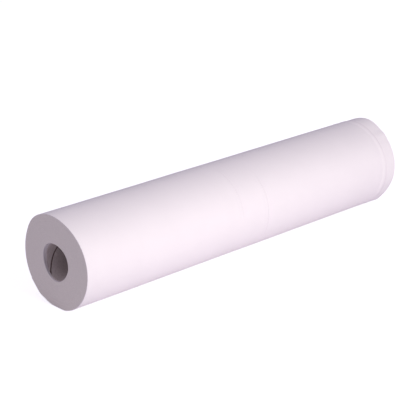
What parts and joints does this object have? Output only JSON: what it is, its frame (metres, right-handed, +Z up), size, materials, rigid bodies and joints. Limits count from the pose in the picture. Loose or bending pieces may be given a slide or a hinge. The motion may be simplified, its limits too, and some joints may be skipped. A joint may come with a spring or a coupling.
{
  "type": "exam table paper roll",
  "caption": "Wide roll of soft white paper wound on a cardboard core, which turns on a rod and pulls out over a couch or table top.",
  "frame": {"origin": "on the floor, under the middle of the roll, at the middle of its box in X and Y", "axes": "+X along the roll, towards the end where the outermost turns stop short; +Z up"},
  "size_m": [0.5, 0.1086, 0.1049],
  "materials": {
    "paper": "matte soft white tissue paper",
    "cardboard": "matte grey-brown spiral-wound chipboard"
  },
  "bodies": {
    "root": {"paper_web": "paper", "cardboard_core": "cardboard"}
  },
  "joints": []
}
